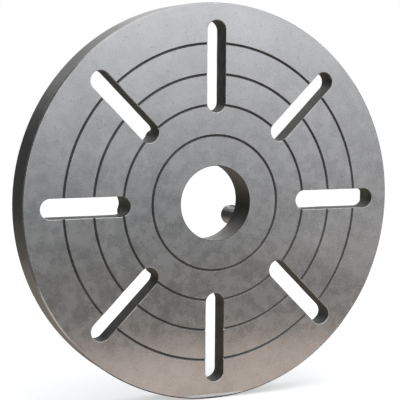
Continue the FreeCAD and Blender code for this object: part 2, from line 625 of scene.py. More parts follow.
@dataclass(frozen=True)
class CastIron(Finish):
    """Grey iron as it came from the sand, darkened by oil.

    Attributes:
        bare: colour of high spots that are rubbed bright.
    """

    bare: Colour = (0.3, 0.3, 0.3)

    def surface(self, tree: Tree, place: bpy.types.NodeSocket) -> Tuple[Any, Any, Any]:
        """Adds grain, darker pits and rubbed high spots.

        Args:
            tree: the material's tree.
            place: where on the piece.

        Returns:
            Sockets for colour, roughness and height.
        """
        grain = tree.group(CastGrain(), Place=place).outputs
        blotch = tree.group(Mottle(), Place=place, Specks=0.6).outputs
        tone = tree.math("MULTIPLY_ADD", blotch["Patch"], 0.5, tree.math("MULTIPLY", blotch["Cloud"], 0.5))
        colour = tree.blend(tone, self.dark, self.light)
        rubbed = tree.span(grain["Height"], 0.55, 0.68)
        colour = tree.blend(tree.math("MULTIPLY", rubbed, 0.35), colour, self.bare)
        colour = tree.blend(grain["Pit"], colour, tuple(c * 0.4 for c in self.dark))
        rough = tree.math("MULTIPLY_ADD", tone, self.spread, self.roughness - self.spread / 2)
        return colour, rough, grain["Height"]


@dataclass(frozen=True)
class GroundSteel(Finish):
    """Steel turned and ground bright.

    Attributes:
        pitch: spacing of its fine rings.
    """

    pitch: float = 0.12 * MM

    def surface(self, tree: Tree, place: bpy.types.NodeSocket) -> Tuple[Any, Any, Any]:
        """Adds fine rings, smears of oil and specks.

        Args:
            tree: the material's tree.
            place: where on the piece.

        Returns:
            Sockets for colour, roughness and height.
        """
        rings = tree.group(TurningMarks(), Place=place, Pitch=self.pitch, Wander=0.6).outputs
        blotch = tree.group(Mottle(), Place=place, Specks=0.3).outputs
        tone = tree.math("MULTIPLY_ADD", rings["Band"], 0.5, tree.math("MULTIPLY", blotch["Patch"], 0.5))
        colour = tree.blend(tone, self.dark, self.light)
        colour = tree.blend(blotch["Speck"], colour, tuple(c * 0.5 for c in self.dark))
        rough = tree.math("MULTIPLY_ADD", tone, self.spread, self.roughness - self.spread / 2)
        return colour, rough, rings["Height"]


@dataclass(frozen=True)
class BlackOxide(Finish):
    """Blackened alloy steel, rubbed to brown-grey where it is handled.

    Attributes:
        rubbed: colour of the rubbed patches.
    """

    rubbed: Colour = (0.16, 0.15, 0.14)

    def surface(self, tree: Tree, place: bpy.types.NodeSocket) -> Tuple[Any, Any, Any]:
        """Adds rubbed patches and a fine tooth.

        Args:
            tree: the material's tree.
            place: where on the piece.

        Returns:
            Sockets for colour, roughness and height.
        """
        tooth = tree.noise(place, 0.5 * MM, 3.0)
        patch = tree.span(tree.noise(place, 2.5 * MM, 3.0, 0.6), 0.45, 0.7)
        colour = tree.blend(tooth, self.dark, self.light)
        colour = tree.blend(tree.math("MULTIPLY", patch, 0.6), colour, self.rubbed)
        rough = tree.math("MULTIPLY_ADD", patch, -self.spread, self.roughness)
        return colour, rough, tooth


STUD_PLACE = "turned_place"    # the studs' own place, kept in their meshes
TAP_GAP = 0.05 * MM            # radial, between a thread and its tapped hole

WORK_FACE = TurnedIron(
    "work_face_iron", dark=(0.495, 0.495, 0.50), light=(0.63, 0.63, 0.645), metallic=1.0, roughness=0.27,
    spread=0.06, bump=0.004 * MM, oil=0.8, oil_roughness=0.09, pitch=0.35 * MM, specks=0.6)
WORN_EDGE = TurnedIron(
    "worn_edge_iron", dark=(0.50, 0.50, 0.50), light=(0.66, 0.66, 0.66), roughness=0.26, bump=0.003 * MM)
# The grooves' finish is the work face's turned iron made about four times darker: painted shade in the
# grooves.
GROOVE_PAINTED_SHADE = TurnedIron(
    "groove_iron_painted_shade", dark=(0.10, 0.10, 0.10), light=(0.16, 0.16, 0.155), metallic=0.9, roughness=0.45,
    bump=0.02 * MM, pitch=0.2 * MM)
# The rim's finish is the same turned iron at less than half the work face's colour: painted shade on the
# plate's outer edge.
RIM_PAINTED_SHADE = TurnedIron(
    "rim_iron_painted_shade", dark=(0.19, 0.19, 0.185), light=(0.28, 0.28, 0.275), roughness=0.34, bump=0.01 * MM,
    pitch=0.6 * MM, oil=0.15)
# The bore's finish is the same turned iron at about a fifth of the work face's colour: painted shade inside
# the bore and spindle seat.
BORE_PAINTED_SHADE = TurnedIron(
    "bore_iron_painted_shade", dark=(0.098, 0.096, 0.09), light=(0.15, 0.146, 0.135), roughness=0.36, bump=0.008 * MM,
    pitch=0.25 * MM)
SLOT_WALL = CastIron(
    "slot_wall_iron", dark=(0.066, 0.064, 0.057), light=(0.165, 0.162, 0.146), metallic=0.6, roughness=0.55,
    spread=0.12, bump=0.25 * MM)
CAST_BACK = CastIron(
    "cast_back_iron", dark=(0.07, 0.072, 0.072), light=(0.15, 0.152, 0.15), metallic=0.6, roughness=0.6,
    spread=0.12, bump=0.45 * MM)
HUB_FACE = TurnedIron(
    "hub_face_iron", dark=(0.42, 0.42, 0.42), light=(0.55, 0.55, 0.55), roughness=0.3, bump=0.006 * MM,
    pitch=0.25 * MM, oil=0.2)
# The drilled finish is the same turned iron at about a third of the work face's colour: painted shade inside
# the stud seats and screw pockets.
DRILLED_PAINTED_SHADE = TurnedIron(
    "drilled_iron_painted_shade", dark=(0.14, 0.14, 0.135), light=(0.22, 0.22, 0.21), roughness=0.42, bump=0.01 * MM)
STUD_STEEL = GroundSteel(
    "stud_ground_steel", dark=(0.36, 0.365, 0.375), light=(0.48, 0.485, 0.495), roughness=0.2, spread=0.08,
    bump=0.002 * MM, attribute=STUD_PLACE)
SCREW_STEEL = BlackOxide(
    "screw_black_oxide", dark=(0.018, 0.018, 0.019), light=(0.035, 0.035, 0.036), metallic=0.7,
    roughness=0.42, spread=0.14, bump=0.01 * MM)


# ---------------------------------------------------------------- pieces


@dataclass
class Faceplate:
    """The one-piece cast plate, machined on its faces, edge, bore and spindle seat.

    Attributes:
        outer_r: radius of the disc.
        depth: from the work face to the back of hub and rim.
        web: thickness of the disc between hub and rim.
        hub_r: radius of the hub at its back face.
        rim_wall: wall of the rim at its back face.
        draft: casting draft of hub side and rim inside, degrees.
        hub_fillet: between web and hub.
        rim_fillet: between web and rim.
        edge: turned chamfer of the outer edges.
        taper_r: large end of the spindle taper.
        taper_half_deg: half angle of the taper.
        bore_r: through bore.
        bore_edge: chamfer at both mouths of the bore.
        groove_rs: radii of the setting grooves.
        groove_half: half width of a groove.
        groove_depth: depth of a groove.
        slot_count: radial slots, evenly spaced.
        slot_half: half width of a slot.
        slot_in: centre of a slot's inner end.
        slot_out: centre of a slot's outer end.
        lip: radius of the slots' broken edge in the work face.
        steps: faces round the plate.
        cast_swell: height of the cast skin's slow waves.
    """

    outer_r: float = 160 * MM
    depth: float = 30 * MM
    web: float = 18 * MM
    hub_r: float = 74 * MM
    rim_wall: float = 8 * MM
    draft: float = 3.0
    hub_fillet: float = 4 * MM
    rim_fillet: float = 5 * MM
    edge: float = 1 * MM
    taper_r: float = 31.7565 * MM
    taper_half_deg: float = 7.125
    bore_r: float = 30.2 * MM
    bore_edge: float = 0.5 * MM
    groove_rs: Tuple[float, ...] = (54.5 * MM, 78.9 * MM, 103.3 * MM, 127.7 * MM)
    groove_half: float = 1.1 * MM
    groove_depth: float = 1.0 * MM
    slot_count: int = 8
    slot_half: float = 8 * MM
    slot_in: float = 81 * MM
    slot_out: float = 138 * MM
    lip: float = 0.5 * MM
    steps: int = 384
    cast_swell: float = 0.35 * MM

    def outline(self) -> Outline:
        """Returns the closed (radius, y) outline of the turned casting, from the bore's front mouth."""
        front, web_back = -self.depth, -self.depth + self.web
        lean = math.tan(math.radians(self.draft)) * (self.depth - self.web)
        taper_slope = math.tan(math.radians(self.taper_half_deg))
        taper_top = -(self.taper_r - self.bore_r) / taper_slope
        mouth = self.taper_r - self.bore_edge * taper_slope
        rim_in = self.outer_r - self.rim_wall
        rim_root, hub_root = rim_in - lean, self.hub_r + lean
        soft, sharp = 0.35 * MM, 0.12 * MM
        corners = [(self.bore_r, front + 2 * self.bore_edge, 0.0),
                   (self.bore_r, front + self.bore_edge, sharp),
                   (self.bore_r + self.bore_edge, front, sharp)]
        for radius in self.groove_rs:
            corners += [(radius - self.groove_half, front, sharp),
                        (radius, front + self.groove_depth, 0.15 * MM),
                        (radius + self.groove_half, front, sharp)]
        corners += [(self.outer_r - self.edge, front, soft), (self.outer_r, front + self.edge, soft)]
        corners += [(self.outer_r, y, 0.0) for y in between(front + 2 * self.edge, -2 * self.edge, 7)]
        corners += [(self.outer_r, -self.edge, soft), (self.outer_r - self.edge, 0.0, soft),
                    (rim_in + self.edge, 0.0, soft), (rim_in, -self.edge, soft)]
        corners += [(rim_in - lean * share, -self.edge + (web_back + self.edge) * share, 0.0)
                    for share in (0.25, 0.45)]
        corners += [(rim_root, web_back, self.rim_fillet)]
        corners += [(r, web_back, 0.0)
                    for r in between(rim_root - self.rim_fillet, hub_root + self.hub_fillet, 22)]
        corners += [(hub_root, web_back, self.hub_fillet)]
        corners += [(self.hub_r + lean * share, web_back * share, 0.0) for share in (0.5, 0.3)]
        corners += [(self.hub_r, -self.edge, soft), (self.hub_r - self.edge, 0.0, soft)]
        corners += [(r, 0.0, 0.0) for r in between(self.hub_r - self.edge, mouth + self.bore_edge, 5)]
        corners += [(mouth + self.bore_edge, 0.0, sharp), (mouth, -self.bore_edge, sharp),
                    (self.bore_r, taper_top, 0.5 * MM)]
        corners += [(self.bore_r, y, 0.0) for y in between(taper_top, front + 2 * self.bore_edge, 3)]
        return rounded(corners)

    def slot_cutter(self) -> bpy.types.Object:
        """Makes the cutter of one slot at +X: a stadium, rounded outwards where it leaves either face.

        Returns:
            The closed cutter.
        """
        Bench.clear()
        points = 48
        lead = 1.5 * MM
        front, web_back = -self.depth, -self.depth + self.web
        radius = (self.slot_half + self.lip) / math.cos(math.pi / points)
        bpy.ops.mesh.primitive_circle_add(
            vertices=points, radius=radius, fill_type="NGON", location=(self.slot_in, front - lead, 0.0),
            rotation=(-math.pi / 2, math.pi / points, 0.0))
        cutter = bpy.context.object
        Bench.settle(cutter)
        outer = [v.index for v in cutter.data.vertices if v.co.x > self.slot_in]
        Bench.pick(cutter, "VERT", outer)
        bpy.ops.transform.translate(value=(self.slot_out - self.slot_in, 0, 0))
        bpy.ops.object.mode_set(mode="OBJECT")
        points_at = [vertex.co for vertex in cutter.data.vertices]
        long_edges = [edge.index for edge in cutter.data.edges
                      if (points_at[edge.vertices[0]] - points_at[edge.vertices[1]]).length > self.slot_half]
        Bench.pick(cutter, "EDGE", long_edges)
        bpy.ops.mesh.subdivide(number_cuts=18)
        bpy.ops.mesh.select_mode(type="FACE")
        bpy.ops.mesh.select_all(action="SELECT")
        quarter = [math.radians(a) for a in (0, 30, 60, 90)]
        rounding = [(self.lip * (math.sin(b) - math.sin(a)), self.lip * (math.cos(a) - math.cos(b)))
                    for a, b in zip(quarter, quarter[1:])]
        self.push(lead)
        for narrower, deeper in rounding:
            bpy.ops.mesh.inset(thickness=narrower, depth=deeper)
        wall = web_back - front - 2 * self.lip
        for _ in range(5):
            self.push(wall / 5)
        for wider, deeper in reversed(rounding):
            bpy.ops.mesh.inset(thickness=wider, depth=deeper, use_outset=True)
        self.push(-web_back + lead)
        Bench.seal(cutter)
        return cutter

    @staticmethod
    def push(distance: float) -> None:
        """Extrudes the selected face along +Y."""
        bpy.ops.mesh.extrude_region_move(TRANSFORM_OT_translate={"value": (0, distance, 0)})

    def slot_cutters(self) -> List[bpy.types.Object]:
        """Makes the cutters of all radial slots, each with its own slow waves as cast.

        Returns:
            One closed cutter a slot.
        """
        first = self.slot_cutter()
        pitch = 360.0 / self.slot_count
        cutters = [Bench.copied(first, "slot_cutter_%d" % i, i * pitch) for i in range(self.slot_count)]
        bpy.data.objects.remove(first)
        waves = bpy.data.textures.new("slot_waves", "CLOUDS")
        waves.noise_scale = 14 * MM
        for cutter in cutters:
            Bench.modify(cutter, "DISPLACE", texture=waves, texture_coords="LOCAL", strength=0.3 * MM,
                         mid_level=0.5)
        return cutters

    def cast_skin(self, plate: bpy.types.Object) -> None:
        """Gives the unmachined recess the slow waves of a sand casting.

        Args:
            plate: the cut plate.
        """
        mesh = plate.data
        rim_in = self.outer_r - self.rim_wall
        group = plate.vertex_groups.new(name="cast")
        for vertex in mesh.vertices:
            radius, y = math.hypot(vertex.co.x, vertex.co.z), vertex.co.y
            if self.hub_r - MM < radius < rim_in and -self.depth + self.web - 0.2 * MM < y < -1.5 * self.edge:
                group.add([vertex.index], min(1.0, (-1.5 * self.edge - y) / (3 * MM)), "REPLACE")
        swell = bpy.data.textures.new("cast_swell", "CLOUDS")
        swell.noise_scale = 9 * MM
        swell.noise_depth = 3
        Bench.modify(plate, "DISPLACE", texture=swell, texture_coords="LOCAL", strength=self.cast_swell,
                     mid_level=0.5, vertex_group="cast")

    def in_slot(self, centres: np.ndarray) -> np.ndarray:
        """Distance of each point from the nearest slot's middle line, for telling slot faces apart.

        Args:
            centres: a row for each point.

        Returns:
            The distances.
        """
        pitch = 2 * math.pi / self.slot_count
        radius = np.hypot(centres[:, 0], centres[:, 2])
        angle = np.arctan2(centres[:, 2], centres[:, 0])
        angle -= np.round(angle / pitch) * pitch
        along, across = radius * np.cos(angle), radius * np.sin(angle)
        past = np.maximum(self.slot_in - along, 0) + np.maximum(along - self.slot_out, 0)
        return np.hypot(past, across)

    def dress(self, plate: bpy.types.Object) -> None:
        """Gives each kind of surface its finish, told apart by place and normal.

        Args:
            plate: the finished shape.
        """
        finishes = [WORK_FACE, WORN_EDGE, GROOVE_PAINTED_SHADE, RIM_PAINTED_SHADE, BORE_PAINTED_SHADE, SLOT_WALL, CAST_BACK, HUB_FACE, DRILLED_PAINTED_SHADE]
        plate.data.materials.clear()
        for finish in finishes:
            plate.data.materials.append(finish.material())
        centres, normals = Bench.faces(plate)
        radius, y = np.hypot(centres[:, 0], centres[:, 2]), centres[:, 1]
        front, web_back = -self.depth, -self.depth + self.web
        slot = self.in_slot(centres)
        kind = np.full(len(y), finishes.index(CAST_BACK))
        kind[(y > -1.3 * self.edge)] = finishes.index(HUB_FACE)
        # The bore and spindle seat get the darker bore finish: painted shade.
        kind[radius < self.taper_r + 0.6 * MM] = finishes.index(BORE_PAINTED_SHADE)
        # The outer edge gets the darker rim finish: painted shade.
        kind[radius > self.outer_r - 0.2 * MM] = finishes.index(RIM_PAINTED_SHADE)
        in_hub = (radius > self.taper_r + 2 * MM) & (radius < self.hub_r - MM)
        # Hole walls in the hub get the darker drilled finish: painted shade.
        kind[in_hub & (y < -0.1 * MM) & (y > front + 2 * MM)] = finishes.index(DRILLED_PAINTED_SHADE)
        at_front = y < front + 1.2 * MM
        kind[at_front & (normals[:, 1] < -0.98)] = finishes.index(WORK_FACE)
        # The grooves get the darker groove finish: painted shade.
        for groove in self.groove_rs:
            in_groove = (abs(radius - groove) < self.groove_half) & (y > front + 0.06 * MM)
            kind[in_groove & at_front] = finishes.index(GROOVE_PAINTED_SHADE)
        kind[(slot < self.slot_half + 0.3 * MM) & (y < web_back + 0.3 * MM)] = finishes.index(SLOT_WALL)
        lips = at_front & (normals[:, 1] > -0.98) & (normals[:, 1] < -0.2) & (kind != finishes.index(GROOVE_PAINTED_SHADE))
        kind[lips & (radius > self.bore_r + self.groove_half)] = finishes.index(WORN_EDGE)
        plate.data.polygons.foreach_set("material_index", kind.astype(np.int32))

    def build(self, seats: Sequence[bpy.types.Object]) -> bpy.types.Object:
        """Turns, cuts and dresses the plate.

        Args:
            seats: closed cutters of the stud and screw holes in the hub.

        Returns:
            The finished plate.
        """
        plate = Bench.turned("cast_plate", self.outline(), self.steps, ring=True)
        Bench.cut(plate, Bench.joined(self.slot_cutters() + list(seats)))
        self.cast_skin(plate)
        Bench.seal(plate)
        self.dress(plate)
        Bench.smooth(plate)
        return plate


@dataclass
class CamStud:
    """One camlock stud, and the hole it sits in.

    Attributes:
        count: studs in the plate, evenly spaced.
        first_deg: place of the first, counter-clockwise from +X, seen from the front.
        pitch_r: radius of the stud circle.
        radius: body of the stud.
        reach: how far it stands out of the hub's back face.
        tip: chamfer of the free end.
        seat: length of the body inside the hub.
        thread_r: radius of the threaded end.
        thread_l: length of the threaded end.
        undercut_r: radius behind the shoulder and between the threads.
        notch_r: radius of the cam notch.
        notch_depth: depth of the cam notch.
        notch_head: from the notch to the free end.
        ring_w: width of the scribed ring.
        ring_depth: depth of the scribed ring.
        clearance: radial gap between body and seat.
        under: gap under the shoulder.
        steps: faces round the stud.
    """

    count: int = 3
    first_deg: float = -22.5
    pitch_r: float = 41.3 * MM
    radius: float = 8.35 * MM
    reach: float = 26 * MM
    tip: float = 1.5 * MM
    seat: float = 8 * MM
    thread_r: float = 5 * MM
    thread_l: float = 13 * MM
    undercut_r: float = 4.3 * MM
    notch_r: float = 9 * MM
    notch_depth: float = 5 * MM
    notch_head: float = 5 * MM
    ring_w: float = 0.8 * MM
    ring_depth: float = 0.3 * MM
    clearance: float = 0.15 * MM
    under: float = 0.5 * MM
    steps: int = 96

    def angles(self) -> List[float]:
        """Returns where each stud stands, in degrees round the lathe axis."""
        return [self.first_deg + 360.0 / self.count * i for i in range(self.count)]

    def body(self) -> bpy.types.Object:
        """Turns the stud at +X, from its free end to its thread.

        Returns:
            The closed stud, without its cuts.
        """
        thread_end = -self.seat - self.thread_l
        soft, sharp = 0.4 * MM, 0.1 * MM
        centre = 0.6 * MM
        corners = [(centre, self.reach, 0.0)]
        corners += [(r, self.reach, 0.0) for r in between(centre, self.radius - self.tip, 2)]
        corners += [(self.radius - self.tip, self.reach, soft), (self.radius, self.reach - self.tip, soft)]
        corners += [(self.radius, y, 0.0) for y in between(self.reach - 2 * self.tip, 2 * self.ring_w, 5)]
        corners += [(self.radius, self.ring_w, sharp),
                    (self.radius - self.ring_depth, self.ring_w / 2, sharp),
                    (self.radius, 0.0, sharp), (self.radius, -self.seat + self.under, sharp),
                    (self.radius - self.under, -self.seat, sharp), (self.undercut_r, -self.seat, 0.2 * MM)]
        turns = 8
        run = (thread_end + self.seat + 2.2 * MM) / turns
        for i in range(turns):
            root = -self.seat - 1.8 * MM + i * run
            corners += [(self.undercut_r, root, 0.0), (self.thread_r, root + 0.4 * run, 0.0),
                        (self.thread_r, root + 0.6 * run, 0.0)]
        corners += [(self.undercut_r, thread_end, 0.2 * MM), (centre, thread_end, 0.0)]
        return Bench.turned("camlock_stud", rounded(corners), self.steps, axis=(self.pitch_r, 0.0))

    def round_cutter(self, radius: float, length: float, place: Place, turn: Place) -> bpy.types.Object:
        """Adds a round bar that is used as a cutter.

        Args:
            radius: of the bar.
            length: of the bar.
            place: its middle.
            turn: its rotation in radians.

        Returns:
            The bar.
        """
        Bench.clear()
        bpy.ops.mesh.primitive_cylinder_add(
            vertices=self.steps, radius=radius, depth=length, location=place, rotation=turn)
        bar = bpy.context.object
        Bench.settle(bar)
        return bar

    def shape(self, screw: "LockScrew") -> bpy.types.Object:
        """Cuts the cam notch and the lock screw's scallop into the body, and breaks their edges.

        Args:
            screw: the screw beside the stud.

        Returns:
            The finished stud at +X.
        """
        stud = self.body()
        drop = self.radius + self.notch_r - self.notch_depth
        half = math.sqrt(self.notch_r ** 2 - (drop - self.radius) ** 2)
        notch_y = self.reach - self.notch_head - half
        Bench.cut(stud, self.round_cutter(
            self.notch_r, 4 * self.radius, (self.pitch_r, notch_y, drop), (0, math.pi / 2, 0)))
        low = -self.seat - self.under
        Bench.cut(stud, self.round_cutter(
            screw.head_r + screw.clearance, notch_y - low,
            (self.pitch_r, (notch_y + low) / 2, screw.offset(self)), (math.pi / 2, 0, 0)))
        Bench.seal(stud)
        Bench.modify(stud, "BEVEL", width=0.2 * MM, segments=2, limit_method="ANGLE",
                     angle_limit=math.radians(50))
        return stud

    def seat_cutter(self, screw: "LockScrew") -> bpy.types.Object:
        """Makes the cutter of a stud's seat with its lock screw's pocket, at +X.

        Args:
            screw: the screw beside the stud.

        Returns:
            One closed cutter.
        """
        flare, lead = 0.3 * MM, 1 * MM
        seat_r, pocket_r = self.radius + self.clearance, screw.head_r + screw.clearance
        floor, deep = -self.seat - self.under, -self.seat - self.thread_l - 2 * MM
        seat = Bench.turned("seat_cutter", [
            (seat_r + flare, lead), (seat_r + flare, 0.0), (seat_r, -flare), (seat_r, floor),
            (self.thread_r + TAP_GAP, floor), (self.thread_r + TAP_GAP, deep), (0.2 * MM, deep - 2.9 * MM)],
            self.steps, axis=(self.pitch_r, 0.0))
        under = -screw.sunk - screw.head_h
        end = under - screw.length - 2 * MM
        pocket = Bench.turned("pocket_cutter", [
            (pocket_r + flare, 2 * lead), (pocket_r + flare, 0.0), (pocket_r, -flare), (pocket_r, under),
            (screw.thread_r + TAP_GAP, under), (screw.thread_r + TAP_GAP, end), (0.2 * MM, end - 1.8 * MM)],
            self.steps, axis=(self.pitch_r, screw.offset(self)))
        Bench.cut(seat, pocket, "UNION")
        Bench.seal(seat)
        return seat

    @staticmethod
    def remember_place(stud: bpy.types.Object, pitch_r: float) -> None:
        """Stores each point's place about the stud's own axis, which its finish reads.

        Args:
            stud: the stud at +X.
            pitch_r: radius of the stud circle.
        """
        kept = stud.data.attributes.new(STUD_PLACE, "FLOAT_VECTOR", "POINT")
        for vertex, item in zip(stud.data.vertices, kept.data):
            item.vector = vertex.co - Vector((pitch_r, 0.0, 0.0))


@dataclass
class LockScrew:
    """One hexagon-socket cap screw beside a stud.

    Attributes:
        thread_r: radius of the thread.
        length: under the head.
        head_r: radius of the head.
        head_h: height of the head.
        across_flats: of the socket.
        socket_depth: of the socket.
        bite: how far the head reaches into the stud's body.
        sunk: head top below the hub face.
        clearance: radial gap round the head.
        steps: faces round the screw.
    """

    thread_r: float = 3 * MM
    length: float = 12 * MM
    head_r: float = 5 * MM
    head_h: float = 6 * MM
    across_flats: float = 5 * MM
    socket_depth: float = 3 * MM
    bite: float = 2 * MM
    sunk: float = 0.8 * MM
    clearance: float = 0.3 * MM
    steps: int = 72

    def offset(self, stud: CamStud) -> float:
        """Distance of the screw's axis from the stud's."""
        return stud.radius + self.head_r - self.bite

    def shape(self, stud: CamStud) -> bpy.types.Object:
        """Turns the screw beside the stud at +X, knurls its head and sinks its socket.

        Args:
            stud: the stud it locks.

        Returns:
            The finished screw.
        """
        top, under = -self.sunk, -self.sunk - self.head_h
        end, centre = under - self.length, 0.5 * MM
        root = self.thread_r - 0.5 * MM
        corners = [(centre, top, 0.0), (0.62 * self.head_r, top, 0.0), (self.head_r, top, 0.7 * MM),
                   (self.head_r, top - 1.4 * MM, 0.0), (self.head_r, under + MM, 0.0),
                   (self.head_r, under, 0.25 * MM), (self.thread_r, under, 0.2 * MM)]
        turns = 9
        run = (end - under + 1.6 * MM) / turns
        for i in range(turns):
            start = under - 1.2 * MM + i * run
            corners += [(self.thread_r, start, 0.0), (root, start + run / 2, 0.0)]
        corners += [(root, end, 0.2 * MM), (centre, end, 0.0)]
        axis = (stud.pitch_r, self.offset(stud))
        screw = Bench.turned("lock_screw", rounded(corners), self.steps, axis=axis)
        self.knurl(screw, axis, top - 1.3 * MM, under + 0.9 * MM)
        self.sink_socket(screw, axis, top)
        Bench.seal(screw)
        return screw

    def knurl(self, screw: bpy.types.Object, axis: Tuple[float, float], high: float, low: float) -> None:
        """Draws every second line of the head's side in, as a straight knurl.

        Args:
            screw: the turned screw.
            axis: x and z of the screw's axis.
            high: y of the upper end of the knurl.
            low: y of its lower end.
        """
        chosen = []
        for vertex in screw.data.vertices:
            x, z = vertex.co.x - axis[0], vertex.co.z - axis[1]
            line = round(math.atan2(z, x) / (2 * math.pi / self.steps))
            on_side = math.hypot(x, z) > 0.98 * self.head_r
            if on_side and low - 0.2 * MM < vertex.co.y < high + 0.2 * MM and line % 2:
                chosen.append(vertex.index)
        Bench.pick(screw, "VERT", chosen)
        size = 1 - 0.25 * MM / self.head_r
        bpy.ops.transform.resize(value=(size, 1, size), center_override=(axis[0], 0, axis[1]))
        bpy.ops.object.mode_set(mode="OBJECT")

    def sink_socket(self, screw: bpy.types.Object, axis: Tuple[float, float], top: float) -> None:
        """Cuts the hexagon socket and its round lead-in.

        Args:
            screw: the turned screw.
            axis: x and z of the screw's axis.
            top: y of the top of the head.
        """
        corner_r = self.across_flats / math.sqrt(3)
        Bench.clear()
        bpy.ops.mesh.primitive_cylinder_add(
            vertices=6, radius=corner_r, depth=2 * self.socket_depth, location=(axis[0], top, axis[1]),
            rotation=(math.pi / 2, 0, 0))
        hexagon = bpy.context.object
        Bench.settle(hexagon)
        Bench.cut(screw, hexagon)
        lead = Bench.turned("lead_in", [
            (corner_r + 0.5 * MM, top + 0.4 * MM), (corner_r + 0.1 * MM, top),
            (corner_r - 0.5 * MM, top - 0.6 * MM)], self.steps, axis=axis)
        Bench.cut(screw, lead)


# ---------------------------------------------------------------- studio


@dataclass(frozen=True)
class SoftBox:
    """A large soft lamp.

    Attributes:
        name: the lamp's name.
        place: where it stands.
        aim: what it points at.
        size: width and height.
        watts: its power.
        colour: its tint.
    """

    name: str
    place: Place
    aim: Place
    size: Tuple[float, float]
    watts: float
    colour: Colour = (1.0, 1.0, 1.0)

    def hang(self) -> None:
        """Adds the lamp."""
        lamp = bpy.data.lights.new(self.name, "AREA")
        lamp.shape = "RECTANGLE"
        lamp.size, lamp.size_y = self.size
        lamp.energy, lamp.color = self.watts, self.colour
        holder = bpy.data.objects.new(self.name, lamp)
        bpy.context.scene.collection.objects.link(holder)
        holder.location = self.place
        holder.rotation_mode = "QUATERNION"
        holder.rotation_quaternion = (Vector(self.aim) - Vector(self.place)).to_track_quat("-Z", "Y")


@dataclass(frozen=True)
class Card:
    """A studio card that shows only in reflections: a bounce, a flag, or a painted shadow on the floor.

    Attributes:
        name: the card's name.
        centre: its middle.
        size: width and height.
        turn: its rotation, degrees about X, Y and Z.
        tone: the tone that a reflection of it shows.
    """

    name: str
    centre: Place
    size: Tuple[float, float]
    turn: Place
    tone: Colour

    def stand(self) -> None:
        """Adds the card."""
        Bench.clear()
        bpy.ops.mesh.primitive_plane_add(
            size=1.0, location=self.centre, rotation=tuple(math.radians(a) for a in self.turn))
        card = bpy.context.object
        card.name = self.name
        card.scale = (self.size[0], self.size[1], 1.0)
        material = bpy.data.materials.new(self.name)
        material.use_nodes = True
        tree = Tree(material.node_tree)
        glow = tree.add("ShaderNodeEmission", {"Color": opaque(self.tone), "Strength": 1.0})
        tree.add("ShaderNodeOutputMaterial", {"Surface": glow.outputs[0]})
        card.data.materials.append(material)
        card.visible_camera = card.visible_diffuse = card.visible_shadow = False
        card.visible_transmission = card.visible_volume_scatter = False
        card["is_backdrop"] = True


@dataclass
class Studio:
    """Floor, background, lamps, cards and camera.

    Attributes:
        lamps: the soft boxes.
        cards: the cards.
        camera_at: where the camera stands.
        camera_aim: what it points at.
        lens: focal length in millimetres.
        roll: degrees that the camera leans.
        floor_glow: how bright the floor shows of itself, on top of what lights it.
        fill: colour of the world's light.
    """

    lamps: Tuple[SoftBox, ...] = ()
    cards: Tuple[Card, ...] = ()
    camera_at: Place = (-0.4086, -0.9222, 0.0965)
    camera_aim: Place = (-0.0115, -0.0246, 0.0025)
    lens: float = 110.3
    roll: float = 0.35
    floor_glow: float = 0.5
    fill: Colour = (0.55, 0.56, 0.58)

    @staticmethod
    def background_share(tree: Tree) -> bpy.types.NodeSocket:
        """Returns 1 for rays that show the background: from the camera, off metal or through glass.

        Args:
            tree: the material's or world's tree.

        Returns:
            The share, 0 or 1.
        """
        path = tree.add("ShaderNodeLightPath").outputs
        seen = tree.math("MAXIMUM", path["Is Camera Ray"], path["Is Glossy Ray"])
        return tree.math("MAXIMUM", seen, path["Is Transmission Ray"])

    def lay_floor(self, level: float) -> None:
        """Lays the pale floor at this height.

        Args:
            level: height of the floor.
        """
        Bench.clear()
        bpy.ops.mesh.primitive_plane_add(size=12.0, location=(0, 0, level))
        floor = bpy.context.object
        floor.name = "studio_floor"
        material = bpy.data.materials.new("pale_floor")
        material.use_nodes = True
        tree = Tree(material.node_tree)
        paint = tree.add("ShaderNodeBsdfDiffuse", {"Color": (0.9, 0.9, 0.9, 1.0)})
        glow = tree.add("ShaderNodeEmission", {
            "Color": (1.0, 1.0, 1.0, 1.0),
            "Strength": tree.math("MULTIPLY", self.background_share(tree), self.floor_glow)})
        both = tree.add("ShaderNodeAddShader", {0: paint.outputs[0], 1: glow.outputs[0]})
        tree.add("ShaderNodeOutputMaterial", {"Surface": both.outputs[0]})
        floor.data.materials.append(material)
        floor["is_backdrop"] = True

    def hang_background(self) -> None:
        """Makes the world white where it is seen, and a soft grey where it only lights."""
        world = bpy.data.worlds.new("studio")
        bpy.context.scene.world = world
        world.use_nodes = True
        tree = Tree(world.node_tree)
        soft = tree.add("ShaderNodeBackground", {"Color": opaque(self.fill), "Strength": 1.0})
        white = tree.add("ShaderNodeBackground", {"Color": (1.0, 1.0, 1.0, 1.0), "Strength": 1.0})
        mixed = tree.add("ShaderNodeMixShader", {
            0: self.background_share(tree), 1: soft.outputs[0], 2: white.outputs[0]})
        tree.add("ShaderNodeOutputWorld", {"Surface": mixed.outputs[0]})

    def set_camera(self) -> None:
        """Stands the camera."""
        camera = bpy.data.objects.new("camera", bpy.data.cameras.new("camera"))
        bpy.context.scene.collection.objects.link(camera)
        camera.data.lens = self.lens
        camera.data.sensor_width = 36.0
        camera.location = self.camera_at
        camera.rotation_mode = "QUATERNION"
        level = (Vector(self.camera_aim) - Vector(self.camera_at)).to_track_quat("-Z", "Y")
        camera.rotation_quaternion = level @ Quaternion((0.0, 0.0, 1.0), math.radians(self.roll))
        bpy.context.scene.camera = camera

    def build(self, level: float) -> None:
        """Sets the whole studio, with its floor at this height.

        Args:
            level: height of the floor.
        """
        self.lay_floor(level)
        self.hang_background()
        for lamp in self.lamps:
            lamp.hang()
        for card in self.cards:
            card.stand()
        self.set_camera()
        bpy.context.scene.view_settings.view_transform = "Standard"


